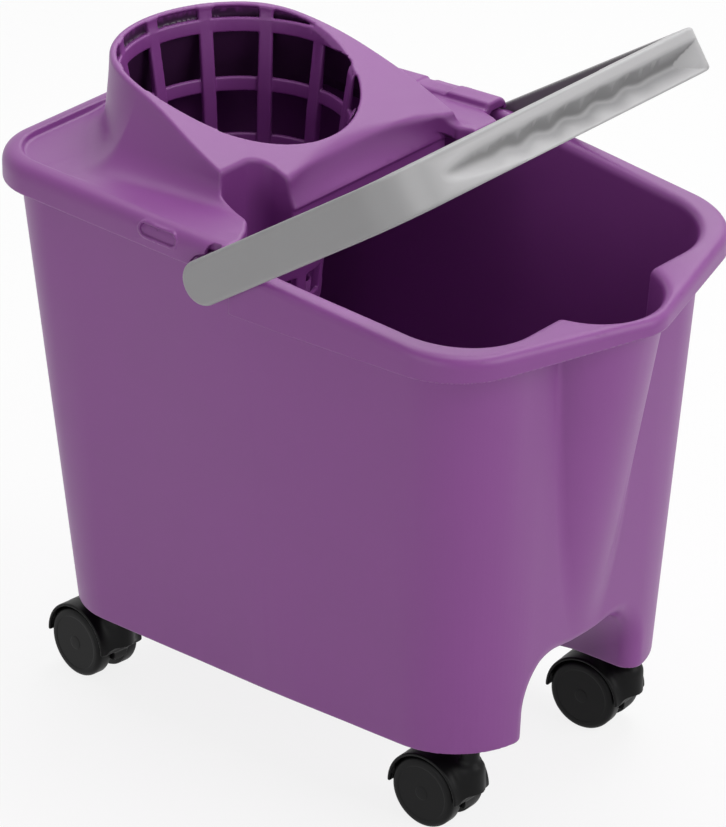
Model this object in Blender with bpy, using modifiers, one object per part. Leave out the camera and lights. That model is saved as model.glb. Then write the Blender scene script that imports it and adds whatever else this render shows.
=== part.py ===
"""Mop bucket with a lift-off wringer, a bail handle and four twin-wheel swivel casters.

Metres, +Z up, floor at z = 0. +X is the pouring spout, -X the wringer end. The left side is -Y.
"""
import math

import bmesh
import bpy
from mathutils import Matrix, Vector

# Clearances between pieces
SEAT_GAP = 0.0003
PIN_GAP = 0.0003

# Rim outline from above: corner points, then the radii that round them
RIM_MID_X = 0.005
RIM_MID_HALF = 0.1246
RIM_REAR = 0.1842
RIM_REAR_TAPER = 0.0136
RIM_REAR_HALF = RIM_MID_HALF - RIM_REAR_TAPER
RIM_REAR_RADIUS = 0.040
RIM_SIDE_RADIUS = 1.0
RIM_FRONT = 0.1475
RIM_FRONT_TAPER = 0.0046
RIM_FRONT_HALF = RIM_MID_HALF - RIM_FRONT_TAPER
RIM_FRONT_RADIUS = 0.045
RIM_NOSE = 0.18553
RIM_NOSE_RADIUS = 0.028

# Rim heights: level behind the slope, falling towards the spout in front of it
RIM_TOP = 0.313
RIM_SLOPE_X = -0.012
RIM_SLOPE = 0.105
RIM_ROUND = 0.0018
SKIRT_LOW = 0.2832
SKIRT_REAR_X = 0.003
SKIRT_WALL = 0.0025
REAR_FLANGE_DEPTH = 0.007
REAR_FLANGE_END = 0.006

# Bucket wall: plan at the skirt's lower edge, set in from the rim, and at the foot, set in by the draft
WALL = 0.0026
RIM_WALL = 0.0030
BRIM_REAR = 0.174
BRIM_FRONT = 0.1505
BRIM_REAR_HALF = RIM_REAR_HALF - 0.0070
BRIM_MID_HALF = RIM_MID_HALF - 0.0106
BRIM_FRONT_HALF = RIM_FRONT_HALF - 0.0135
BRIM_REAR_RADIUS = 0.037
BRIM_FRONT_RADIUS = 0.045
FOOT_Z = 0.0514
FOOT_REAR = 0.1585
FOOT_FRONT = 0.138
FOOT_REAR_HALF = BRIM_REAR_HALF - 0.0120
FOOT_MID_HALF = BRIM_MID_HALF - 0.0195
FOOT_FRONT_HALF = BRIM_FRONT_HALF - 0.0140
FOOT_REAR_RADIUS = 0.042
FOOT_FRONT_RADIUS = 0.046
FLOOR_TOP = 0.078

# Pouring spout: a tilted tube that leaves the front wall
SPOUT_RADIUS = 0.041
SPOUT_CENTRE_X = 0.136
SPOUT_TILT = 0.2
SPOUT_START_Z = 0.100

# Foot-tip arch under the front wall
ARCH_HALF = 0.0515
ARCH_TOP = 0.096
ARCH_RADIUS = 0.029
ARCH_BACK_X = 0.097

# Wringer cover
LIP_LOW = 0.302
LIP_TOP = 0.319
LIP_WALL = 0.0027
LIP_ROUND = 0.005
COVER_FRONT_X = 0.0
COVER_BITE_X = -0.030
BITE_CORNER = RIM_MID_HALF - 0.0151
BITE_LEFT = (
    (0.0, -BITE_CORNER),
    (-0.006, -0.098),
    (-0.0145, -0.087),
    (-0.0145, -0.076),
    (COVER_BITE_X, -0.074),
)
BITE_RIGHT = ((COVER_BITE_X, 0.074), (-0.008, 0.076), (-0.003, 0.080))
RECESS_INSET = 0.011
RECESS_DEPTH = 0.003
RECESS_REAR_X = -0.175
RECESS_FRONT_X = -0.085
RECESS_RIGHT_X = -0.115
RECESS_RIGHT_Y = 0.060
SLOT_X = (-0.057, -0.034)
SLOT_Z = (0.3120, 0.3148)

# Collar of the wringer: plan at the plate, plan at the top, and the curved top surface
COLLAR_WALL = 0.0026
COLLAR_X = -0.0962
COLLAR_FOOT = (
    (-0.1687, -0.0277, 0.0725, 5),
    (-0.1147, -0.0900, 0.014, 6),
    (-0.0190, -0.0770, 0.006, 3),
)
COLLAR_TOP = (
    (-0.1638, -0.0259, 0.0676, 5),
    (-0.1313, -0.0627, 0.064, 6),
    (-0.0480, -0.0765, 0.006, 3),
)
COLLAR_TOP_Z = 0.362
COLLAR_BASE_Z = 0.3146
COLLAR_FLARE = 0.36
CREST_X = -0.143
CREST_RADIUS = 0.184
CREST_FALL = math.radians(22.3)
OPENING_RADIUS = 0.0634
APRON_X = -0.0148
APRON_TOP_X = -0.0243
APRON_TOP = 0.3252
APRON_BEND = 0.310
APRON_WALL = 0.0026
APRON_HALF_LEFT = 0.045
APRON_HALF_RIGHT = 0.0755
APRON_LOW = 0.296

# Pole notch on the left front corner of the collar
NOTCH_X = -0.0295
NOTCH_Y = -0.0605
NOTCH_RADIUS = 0.014
NOTCH_WALL_LOW = 0.297
NOTCH_WALL_TOP = 0.3178

# Wringer basket: a slotted cone hanging in the collar
BASKET_TOP_RADIUS = 0.0656
BASKET_FOOT_RADIUS = 0.052
BASKET_WALL = 0.0035
BASKET_FOOT_Z = 0.222
BASKET_RIBS = 12
RIB_ANGLE = math.radians(8.5)
BASKET_WINDOWS = ((0.355, 0.375), (0.320, 0.3455), (0.2865, 0.311), (0.253, 0.2775), (0.230, 0.244))
DRAIN_RADIUS = 0.008
DRAIN_CIRCLE = 0.030
DRAIN_COUNT = 6
DRAIN_TURN = math.radians(11)

# Bail handle: a band bent to a U, on two studs
HANDLE_REST = math.radians(33.2)
PIVOT_X = -0.011
PIVOT_Z = 0.298
BOSS_RADIUS = 0.012
BOSS_FACE_Y = RIM_MID_HALF - 0.0006
LIP_CUTOUT_RADIUS = 0.0135
STUD_RADIUS = 0.004
STUD_LENGTH = 0.0095
STUD_HOLE_DEPTH = 0.0102
ARM_FACE_Y = BOSS_FACE_Y + SEAT_GAP
ARM_THICKNESS = 0.0045
ARM_WIDTH = 0.0245
BAIL_REACH = 0.150
BAIL_CORNER = 0.010
BAIL_INNER_CORNER = 0.012
GRIP_DEPTH = 0.016
TROUGH_DEPTH = 0.011
TROUGH_LIP = 0.003
TROUGH_HALF = 0.074
TROUGH_RAMP = 0.018

# Casters: swivel points and headings, then the one caster that is used four times
FRONT_SWIVEL_X = 0.1185
REAR_SWIVEL_X = -0.128
SWIVEL_Y = 0.068
HEADINGS = {
    "front_left": math.radians(1.2),
    "front_right": math.radians(5.5),
    "rear_left": math.radians(-6.7),
    "rear_right": math.radians(-4.0),
}
WHEEL_RADIUS = 0.020
WHEEL_INNER_Y = 0.0055
WHEEL_OUTER_Y = 0.0145
WHEEL_ROUND = 0.003
WHEEL_STEPS = 24
TRAIL = 0.0207
AXLE_RADIUS = 0.0025
AXLE_HALF = 0.0130
HOOD_INNER = 0.0208
HOOD_OUTER = 0.0228
HOOD_HALF = 0.0148
HOOD_FRONT_ANGLE = math.radians(42)
HOOD_REAR_ANGLE = math.radians(182)
WEB_HALF = 0.0047
WEB_LOW_ANGLE = math.radians(-12)
WEB_TOP_ANGLE = math.radians(88)
WEB_FRONT_X = 0.0065
WEB_FRONT_LOW = 0.016
WEB_NOSE_LOW = 0.022
WEB_NOSE_TOP = 0.0412
HOOD_BOSS_RADIUS = 0.0085
HOOD_BOSS_LOW = 0.0369
HOOD_TOP = 0.0432
STEM_NECK_RADIUS = 0.008
STEM_RADIUS = 0.0053
STEM_TOP = 0.0705
SPIGOT_RADIUS = 0.003
SPIGOT_LOW = 0.026
SOCKET_WALL = 0.0034
SOCKET_LIFT = 0.0008
RING_LOW = 0.060
RING_HIGH = 0.0645
RING_THICKNESS = 0.001
RING_SPLIT = math.radians(40)

PURPLE = (0.240, 0.105, 0.265)
GREY = (0.330, 0.325, 0.335)
BLACK = (0.012, 0.012, 0.013)
STEEL = (0.55, 0.55, 0.56)

# How far helper shapes run past what they cut or join
BLANK_TOP = 0.330
FAR = 0.3
OVER = 0.01

# Number of straight pieces that stand for each curve
CORNER_STEPS = 7
SIDE_STEPS = 4
SPOUT_STEPS = 32
DISC_STEPS = 24
TUBE_STEPS = 20
PIN_STEPS = 16
DRAIN_STEPS = 12
NOTCH_STEPS = 10
HOOD_STEPS = 14
WEB_STEPS = 8
OPENING_STEPS = 48
SOFT_EDGE_STEPS = 6
SMOOTH_ANGLE = math.radians(30)

for old in list(bpy.data.objects):
    bpy.data.objects.remove(old)
PARTS = bpy.data.collections.new("mop_bucket_with_wringer")
CUTTERS = bpy.data.collections.new("cutters")
bpy.context.scene.collection.children.link(PARTS)
bpy.context.scene.collection.children.link(CUTTERS)

FACING = {
    "X": Matrix(((0, 0, 1), (1, 0, 0), (0, 1, 0))).to_4x4(),
    "Y": Matrix.Rotation(math.pi / 2, 4, "X"),
    "Z": Matrix.Identity(4),
}


def rounded(corners):
    """Outline of a polygon whose corners (x, y, radius, steps) are rounded."""
    points = []
    for i, (x, y, radius, steps) in enumerate(corners):
        here = Vector((x, y))
        if not steps:
            points.append(here)
            continue
        back = (Vector(corners[i - 1][:2]) - here).normalized()
        ahead = (Vector(corners[(i + 1) % len(corners)][:2]) - here).normalized()
        half = back.angle(ahead) / 2
        centre = here + (back + ahead).normalized() * (radius / math.sin(half))
        start = here + back * (radius / math.tan(half)) - centre
        turn = math.copysign(math.pi - 2 * half, ahead.cross(back))
        for k in range(steps + 1):
            points.append(centre + Matrix.Rotation(turn * k / steps, 2) @ start)
    return points


def shrunk(corners, by):
    """The same rounded convex polygon with every side moved in by one distance."""
    moved = []
    for i, (x, y, radius, steps) in enumerate(corners):
        here = Vector((x, y))
        back = (Vector(corners[i - 1][:2]) - here).normalized()
        ahead = (Vector(corners[(i + 1) % len(corners)][:2]) - here).normalized()
        half = back.angle(ahead) / 2
        there = here + (back + ahead).normalized() * (by / math.sin(half))
        moved.append((there.x, there.y, radius - by, steps))
    return moved


def both_sides(left):
    """Corners of the -Y half followed by their mirror images."""
    return left + [(x, -y, radius, steps) for x, y, radius, steps in reversed(left) if y]


def clipped(outline, limit, side):
    """The part of a convex outline with x above the limit (side 1) or below it (side -1)."""
    kept = []
    for i, b in enumerate(outline):
        a = outline[i - 1]
        if (a.x - limit) * (b.x - limit) < 0:
            kept.append(a.lerp(b, (limit - a.x) / (b.x - a.x)))
        if (b.x - limit) * side >= 0:
            kept.append(b)
    return kept


def circle(x, y, radius, steps, turn=0.0):
    """Outline of a circle."""
    angles = [turn + math.tau * k / steps for k in range(steps)]
    return [Vector((x + radius * math.cos(a), y + radius * math.sin(a))) for a in angles]


def arc(x, y, radius, start, end, steps):
    """Points along an arc."""
    angles = [start + (end - start) * k / steps for k in range(steps + 1)]
    return [Vector((x + radius * math.cos(a), y + radius * math.sin(a))) for a in angles]


def placed(name, mesh, collection, matrix):
    """Puts a mesh in the scene as an object of the collection."""
    obj = bpy.data.objects.new(name, mesh)
    collection.objects.link(obj)
    obj.matrix_world = matrix
    if collection is CUTTERS:
        obj.hide_render = True
        obj.display_type = "WIRE"
    return obj


def extruded(name, outlines, low, high, axis="Z", collection=CUTTERS):
    """Prism over one outline or a list of them, between two heights along an axis."""
    if isinstance(outlines[0], (Vector, tuple)):
        outlines = [outlines]
    curve = bpy.data.curves.new(name, "CURVE")
    curve.dimensions = "2D"
    curve.fill_mode = "BOTH"
    curve.extrude = (high - low) / 2
    for outline in outlines:
        spline = curve.splines.new("POLY")
        spline.points.add(len(outline) - 1)
        for point, (x, y) in zip(spline.points, outline):
            point.co = (x, y, 0, 1)
        spline.use_cyclic_u = True
    obj = bpy.data.objects.new(name, curve)
    PARTS.objects.link(obj)
    graph = bpy.context.evaluated_depsgraph_get()
    mesh = bpy.data.meshes.new_from_object(obj.evaluated_get(graph))
    bpy.data.objects.remove(obj)
    shape = bmesh.new()
    shape.from_mesh(mesh)
    bmesh.ops.remove_doubles(shape, verts=shape.verts, dist=1e-6)
    bmesh.ops.recalc_face_normals(shape, faces=shape.faces)
    shape.to_mesh(mesh)
    shape.free()
    mesh.name = name
    facing = FACING[axis]
    middle = (low + high) / 2
    shift = [middle if letter == axis else 0.0 for letter in "XYZ"]
    return placed(name, mesh, collection, Matrix.Translation(shift) @ facing)


def lofted(name, sections, collection=CUTTERS):
    """Closed skin through sections that hold the same number of 3-D points, low to high."""
    shape = bmesh.new()
    rings = [[shape.verts.new(point) for point in section] for section in sections]
    for low, high in zip(rings, rings[1:]):
        for i in range(len(low)):
            a, b, c, d = low[i - 1], low[i], high[i], high[i - 1]
            along_ac = (a.co - c.co).length < (b.co - d.co).length
            for corners in ((a, b, c), (a, c, d)) if along_ac else ((a, b, d), (b, c, d)):
                shape.faces.new(corners)
    shape.faces.new(list(reversed(rings[0])))
    shape.faces.new(rings[-1])
    mesh = bpy.data.meshes.new(name)
    shape.to_mesh(mesh)
    shape.free()
    return placed(name, mesh, collection, Matrix.Identity(4))


def level(outline, z):
    """An outline as a section at one height."""
    return [(x, y, z) for x, y in outline]


def turned(name, profile, steps, collection=CUTTERS):
    """Solid of revolution about local Z; the profile (radius, height) runs down its outer side."""
    mesh = bpy.data.meshes.new(name)
    edges = [(i, i + 1) for i in range(len(profile) - 1)]
    mesh.from_pydata([(radius, 0, height) for radius, height in profile], edges, [])
    obj = placed(name, mesh, collection, Matrix.Identity(4))
    screw = obj.modifiers.new("turn", "SCREW")
    screw.steps = steps
    screw.render_steps = steps
    screw.use_merge_vertices = True
    screw.merge_threshold = 0.00001
    return obj


def boolean(obj, other, operation):
    """Adds a Boolean with a helper object to the piece."""
    modifier = obj.modifiers.new(other.name, "BOOLEAN")
    modifier.operation = operation
    modifier.object = other
    modifier.solver = "EXACT"


def cut(obj, *others):
    """Takes the helpers out of the piece."""
    for other in others:
        boolean(obj, other, "DIFFERENCE")


def join(obj, *others):
    """Adds the helpers to the piece."""
    for other in others:
        boolean(obj, other, "UNION")


def finished(obj, colour, roughness, metallic=0.0):
    """Gives a piece its own material and smooth shading that keeps its edges."""
    material = bpy.data.materials.new(obj.name)
    material.use_nodes = True
    shader = material.node_tree.nodes["Principled BSDF"]
    shader.inputs["Base Color"].default_value = (*colour, 1)
    shader.inputs["Roughness"].default_value = roughness
    shader.inputs["Metallic"].default_value = metallic
    obj.data.materials.append(material)
    obj.data.shade_smooth()
    obj.data.set_sharp_from_angle(angle=SMOOTH_ANGLE)


def rim_corners():
    """Rim outline, counter-clockwise from the left rear corner."""
    return both_sides([
        (-RIM_REAR, -RIM_REAR_HALF, RIM_REAR_RADIUS, CORNER_STEPS),
        (RIM_MID_X, -RIM_MID_HALF, RIM_SIDE_RADIUS, SIDE_STEPS),
        (RIM_FRONT, -RIM_FRONT_HALF, RIM_FRONT_RADIUS, CORNER_STEPS),
        (RIM_NOSE, 0.0, RIM_NOSE_RADIUS, SIDE_STEPS),
    ])


def wall_section(z, inset):
    """Bucket wall outline at a height, moved in by a distance."""
    share = (z - FOOT_Z) / (SKIRT_LOW - FOOT_Z)

    def at(foot, brim):
        return foot + (brim - foot) * share

    rear_radius = at(FOOT_REAR_RADIUS, BRIM_REAR_RADIUS)
    front_radius = at(FOOT_FRONT_RADIUS, BRIM_FRONT_RADIUS)
    corners = both_sides([
        (-at(FOOT_REAR, BRIM_REAR), -at(FOOT_REAR_HALF, BRIM_REAR_HALF), rear_radius, CORNER_STEPS),
        (RIM_MID_X, -at(FOOT_MID_HALF, BRIM_MID_HALF), RIM_SIDE_RADIUS, SIDE_STEPS),
        (at(FOOT_FRONT, BRIM_FRONT), -at(FOOT_FRONT_HALF, BRIM_FRONT_HALF), front_radius, CORNER_STEPS),
    ])
    return level(rounded(shrunk(corners, inset)), z)


def wall_block(name, inset, low, high, collection=CUTTERS):
    """The bucket wall as a solid block between two heights."""
    return lofted(name, [wall_section(low, inset), wall_section(high, inset)], collection)


def spout_tube(name, radius, low, high):
    """The spout's tilted tube between two heights."""
    sections = []
    for z in (low, high):
        x = SPOUT_CENTRE_X + SPOUT_TILT * (z - SKIRT_LOW)
        sections.append(level(circle(x, 0, radius, SPOUT_STEPS), z))
    return lofted(name, sections)


def rim_height(x):
    """Height of the bucket's top surface."""
    return RIM_TOP - RIM_SLOPE * max(0.0, x - RIM_SLOPE_X)


def rolled_edge(radius):
    """How far the points of a rounded top edge lie in from the side and down from the top."""
    turns = (0.0, math.pi / 4, math.pi / 2)
    return [(radius * (1 - math.cos(turn)), radius * (1 - math.sin(turn))) for turn in turns]


def above_rim(name, drop):
    """Everything above the bucket's top surface, moved down by a distance."""
    outline = [(x, rim_height(x)) for x in (-FAR, RIM_SLOPE_X, FAR)] + [(FAR, 2 * FAR), (-FAR, 2 * FAR)]
    return extruded(name, [(x, z - drop) for x, z in outline], -FAR, FAR, "Y")


def arch_block(name, grow):
    """The foot-tip arch as a solid, grown on every side but the open ones."""
    half = ARCH_HALF + grow
    outline = rounded([
        (-half, FOOT_Z / 2, 0, 0),
        (half, FOOT_Z / 2, 0, 0),
        (half, ARCH_TOP + grow, ARCH_RADIUS + grow, CORNER_STEPS),
        (-half, ARCH_TOP + grow, ARCH_RADIUS + grow, CORNER_STEPS),
    ])
    return extruded(name, outline, ARCH_BACK_X - grow, FAR, "X")


def pivot_discs(name, radius, near, far):
    """Two discs on the handle's axis, one on each side, between two distances from y = 0."""
    outline = circle(PIVOT_X, PIVOT_Z, radius, DISC_STEPS)
    return [extruded(name + "_left", outline, -far, -near, "Y"),
            extruded(name + "_right", outline, near, far, "Y")]


SWIVELS = {
    "front_left": (FRONT_SWIVEL_X, -SWIVEL_Y),
    "front_right": (FRONT_SWIVEL_X, SWIVEL_Y),
    "rear_left": (REAR_SWIVEL_X, -SWIVEL_Y),
    "rear_right": (REAR_SWIVEL_X, SWIVEL_Y),
}
SOCKET_RADIUS = STEM_RADIUS + PIN_GAP
FLOOR_LOW = FLOOR_TOP - WALL


def make_bucket():
    """Moulded bucket: wall, floor, skirted rim, spout, foot-tip arch, caster sockets, pivot bosses."""
    rim = rim_corners()
    bucket = wall_block("bucket", 0.0, FOOT_Z, BLANK_TOP, PARTS)
    skirt = [level(clipped(rounded(rim), SKIRT_REAR_X, 1), SKIRT_LOW)]
    for inset, drop in rolled_edge(RIM_ROUND) + [(RIM_ROUND, RIM_TOP - BLANK_TOP)]:
        outline = clipped(rounded(shrunk(rim, inset)), SKIRT_REAR_X, 1)
        skirt.append([(x, y, rim_height(x) - drop) for x, y in outline])
    join(bucket, lofted("skirt_block", skirt))
    flange = clipped(rounded(shrunk(rim, LIP_WALL + SEAT_GAP)), REAR_FLANGE_END, -1)
    join(bucket, extruded("rear_flange", flange, RIM_TOP - REAR_FLANGE_DEPTH, BLANK_TOP + 0.2 * OVER))
    join(bucket, spout_tube("spout_block", SPOUT_RADIUS, SPOUT_START_Z, BLANK_TOP + 0.3 * OVER))
    join(bucket, *pivot_discs("pivot_boss", BOSS_RADIUS, BRIM_REAR_HALF, BOSS_FACE_Y))

    channel_outline = clipped(rounded(shrunk(rim, SKIRT_WALL)), SKIRT_REAR_X + SKIRT_WALL, 1)
    channel = extruded("skirt_channel", channel_outline, SKIRT_LOW - OVER, BLANK_TOP + OVER)
    cut(channel, above_rim("under_rim", RIM_WALL))
    cut(channel, wall_block("wall_keep", WALL - RIM_WALL, FOOT_Z, BLANK_TOP + 2 * OVER))
    spout_radius = SPOUT_RADIUS + RIM_WALL - WALL
    cut(channel, spout_tube("spout_keep", spout_radius, SPOUT_START_Z, BLANK_TOP + 2 * OVER))
    cut(bucket, channel)

    arch_shell = arch_block("arch_shell", WALL)
    cavity = wall_block("cavity", WALL, FLOOR_TOP, BLANK_TOP + OVER)
    cut(cavity, arch_shell)
    cut(bucket, cavity)
    bore_start = SPOUT_START_Z + OVER / 2
    cut(bucket, spout_tube("spout_bore", SPOUT_RADIUS - WALL, bore_start, BLANK_TOP + 1.5 * OVER))

    underside = wall_block("underside", WALL, FOOT_Z - OVER, FLOOR_LOW)
    cut(underside, arch_shell)
    tubes = [circle(x, y, SOCKET_RADIUS + SOCKET_WALL, TUBE_STEPS) for x, y in SWIVELS.values()]
    cut(underside, extruded("socket_tubes", tubes, FOOT_Z + SOCKET_LIFT, FLOOR_TOP))
    cut(bucket, underside)
    cut(bucket, arch_block("arch", 0.0))
    bores = [circle(x, y, SOCKET_RADIUS, PIN_STEPS) for x, y in SWIVELS.values()]
    cut(bucket, extruded("socket_bores", bores, FOOT_Z - OVER / 2, STEM_TOP + SEAT_GAP))
    cut(bucket, above_rim("above_rim", 0.0))
    hole_end = BOSS_FACE_Y - STUD_HOLE_DEPTH
    cut(bucket, *pivot_discs("stud_hole", STUD_RADIUS + PIN_GAP, hole_end, BOSS_FACE_Y + OVER / 2))
    finished(bucket, PURPLE, 0.42)


def above_collar(name, drop):
    """Everything above the collar's curved top surface, moved down by a distance."""
    crest_z = COLLAR_TOP_Z - CREST_RADIUS
    crest = arc(CREST_X, crest_z, CREST_RADIUS, math.pi / 2, math.pi / 2 - CREST_FALL, SOFT_EDGE_STEPS)
    last = crest[-1]
    run = FAR / 2 - last.x
    outline = [Vector((-FAR, COLLAR_TOP_Z)), *crest]
    outline.append(Vector((FAR / 2, last.y - run * math.tan(CREST_FALL))))
    outline += [Vector((FAR / 2, 2 * FAR)), Vector((-FAR, 2 * FAR))]
    return extruded(name, [(x, z - drop) for x, z in outline], -FAR, FAR, "Y")


def collar_block(name, inset, low):
    """The collar as a solid that narrows from the plate to its top; straight below the plate."""
    foot = rounded(shrunk(both_sides(list(COLLAR_FOOT)), inset))
    top = rounded(shrunk(both_sides(list(COLLAR_TOP)), inset))
    waist = [b.lerp(a, COLLAR_FLARE) for a, b in zip(foot, top)]
    waist_z = (COLLAR_BASE_Z + COLLAR_TOP_Z) / 2
    sections = [level(foot, COLLAR_BASE_Z), level(waist, waist_z), level(top, COLLAR_TOP_Z + OVER / 10)]
    if low < COLLAR_BASE_Z:
        sections.insert(0, level(foot, low))
    return lofted(name, sections)


def notch_block(name, grow, low, high):
    """The pole notch as a solid: a half round that is open to the front."""
    radius = NOTCH_RADIUS + grow
    outline = arc(NOTCH_X, NOTCH_Y, radius, math.pi / 2, 1.5 * math.pi, NOTCH_STEPS)
    outline.append(Vector((-COVER_BITE_X, NOTCH_Y - radius)))
    outline.append(Vector((-COVER_BITE_X, NOTCH_Y + radius)))
    return extruded(name, outline, low, high)


def basket_radius(z):
    """Outer radius of the basket at a height."""
    share = (z - BASKET_FOOT_Z) / (COLLAR_TOP_Z - BASKET_FOOT_Z)
    return BASKET_FOOT_RADIUS + (BASKET_TOP_RADIUS - BASKET_FOOT_RADIUS) * share


def basket_block():
    """The slotted cone of the wringer, as one helper solid."""
    top = COLLAR_TOP_Z + OVER / 5
    floor = BASKET_FOOT_Z + BASKET_WALL
    profile = [
        (0.0, floor),
        (basket_radius(floor) - BASKET_WALL, floor),
        (basket_radius(top) - BASKET_WALL, top),
        (basket_radius(top), top),
        (BASKET_FOOT_RADIUS, BASKET_FOOT_Z),
        (0.0, BASKET_FOOT_Z),
    ]
    basket = turned("basket", profile, OPENING_STEPS)
    basket.location.x = COLLAR_X
    pitch = math.tau / BASKET_RIBS
    for row, (low, high) in enumerate(BASKET_WINDOWS):
        sectors = []
        for rib in range(BASKET_RIBS):
            start = rib * pitch + RIB_ANGLE / 2
            end = (rib + 1) * pitch - RIB_ANGLE / 2
            inner = arc(COLLAR_X, 0, BASKET_FOOT_RADIUS - 2 * BASKET_WALL, start, end, 1)
            outer = arc(COLLAR_X, 0, BASKET_TOP_RADIUS + 2 * BASKET_WALL, end, start, 1)
            sectors.append(inner + outer)
        cut(basket, extruded(f"basket_windows_{row}", sectors, low, high))
    drains = [circle(COLLAR_X, 0, DRAIN_RADIUS, DRAIN_STEPS, DRAIN_TURN)]
    for point in circle(COLLAR_X, 0, DRAIN_CIRCLE, DRAIN_COUNT, DRAIN_TURN):
        drains.append(circle(point.x, point.y, DRAIN_RADIUS, DRAIN_STEPS, DRAIN_TURN))
    cut(basket, extruded("basket_drains", drains, BASKET_FOOT_Z - OVER / 2, floor + OVER / 2))
    cut(basket, above_collar("above_ribs", COLLAR_WALL / 2))
    return basket


def make_wringer():
    """Wringer in one moulding: lipped cover, sloping collar, pole notch and slotted basket."""
    rim = rim_corners()
    plate_low = RIM_TOP + SEAT_GAP
    cover = [level(clipped(rounded(rim), COVER_FRONT_X, -1), LIP_LOW)]
    for inset, drop in rolled_edge(LIP_ROUND):
        cover.append(level(clipped(rounded(shrunk(rim, inset)), COVER_FRONT_X, -1), LIP_TOP - drop))
    wringer = lofted("wringer", cover, PARTS)
    hollow = clipped(rounded(shrunk(rim, LIP_WALL)), REAR_FLANGE_END, -1)
    cut(wringer, extruded("cover_hollow", hollow, LIP_LOW - OVER, plate_low))

    recess = clipped(rounded(shrunk(rim, RECESS_INSET)), RECESS_FRONT_X, -1)
    slope = RECESS_DEPTH / (RECESS_FRONT_X - RECESS_REAR_X)
    floor = [(x, y, LIP_TOP + (x - RECESS_FRONT_X) * slope) for x, y in recess]
    cut(wringer, lofted("cover_recess", [floor, level(recess, LIP_TOP + OVER)]))
    right = clipped(rounded(shrunk(rim, RECESS_INSET + SEAT_GAP)), RECESS_RIGHT_X, 1)
    right_recess = extruded("cover_recess_right", right, LIP_TOP - RECESS_DEPTH, LIP_TOP + 2 * OVER)
    other_side = [(-FAR, -FAR), (FAR, -FAR), (FAR, RECESS_RIGHT_Y), (-FAR, RECESS_RIGHT_Y)]
    cut(right_recess, extruded("recess_other_side", other_side, 0, 2 * FAR))
    cut(wringer, right_recess)
    bite = [(-COVER_BITE_X, BITE_LEFT[0][1]), *BITE_LEFT, *BITE_RIGHT, (-COVER_BITE_X, BITE_RIGHT[-1][1])]
    cut(wringer, extruded("cover_bite", bite, LIP_LOW - 2 * OVER, LIP_TOP + 2 * OVER))

    collar = collar_block("collar", 0.0, LIP_TOP)
    cut(collar, above_collar("above_collar", 0.0))
    apron = [
        (APRON_TOP_X, APRON_TOP),
        (APRON_X, APRON_BEND),
        (APRON_X, APRON_LOW),
        (APRON_X - APRON_WALL, APRON_LOW),
        (APRON_X - APRON_WALL, APRON_BEND),
        (APRON_TOP_X - APRON_WALL, APRON_TOP),
    ]
    join(wringer, collar, extruded("apron", apron, -APRON_HALF_LEFT, APRON_HALF_RIGHT, "Y"))
    pipe = notch_block("notch_wall", COLLAR_WALL, NOTCH_WALL_LOW, NOTCH_WALL_TOP)
    end = APRON_X - OVER / 10
    cut(pipe, extruded("notch_wall_end", [(end, -FAR), (FAR, -FAR), (FAR, FAR), (end, FAR)], 0, 2 * FAR))
    join(wringer, pipe)

    inside = collar_block("collar_inside", COLLAR_WALL, APRON_LOW - OVER)
    cut(inside, above_collar("under_collar", COLLAR_WALL))
    cut(inside, notch_block("notch_keep", COLLAR_WALL, APRON_LOW - 2 * OVER, BLANK_TOP + FAR))
    cut(wringer, inside)
    opening = circle(COLLAR_X, 0, OPENING_RADIUS, OPENING_STEPS)
    cut(wringer, extruded("opening", opening, LIP_LOW, COLLAR_TOP_Z + 2 * OVER))
    join(wringer, basket_block())
    cut(wringer, notch_block("notch", 0.0, APRON_LOW - 3 * OVER, BLANK_TOP + FAR))
    cut(wringer, *pivot_discs("lip_cutout", LIP_CUTOUT_RADIUS, RIM_REAR_HALF, BOSS_FACE_Y + OVER))
    slot = [(SLOT_X[0], SLOT_Z[0]), (SLOT_X[1], SLOT_Z[0]), (SLOT_X[1], SLOT_Z[1]), (SLOT_X[0], SLOT_Z[1])]
    cut(wringer, extruded("slot_left", slot, -RIM_MID_HALF, -RIM_REAR_HALF, "Y"))
    cut(wringer, extruded("slot_right", slot, RIM_REAR_HALF, RIM_MID_HALF, "Y"))
    finished(wringer, PURPLE, 0.42)


def empty(name, location, turn, parent=None):
    """Empty that carries a moving piece on its axis."""
    obj = bpy.data.objects.new(name, None)
    PARTS.objects.link(obj)
    obj.parent = parent
    obj.location = location
    obj.rotation_euler = turn
    return obj


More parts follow.
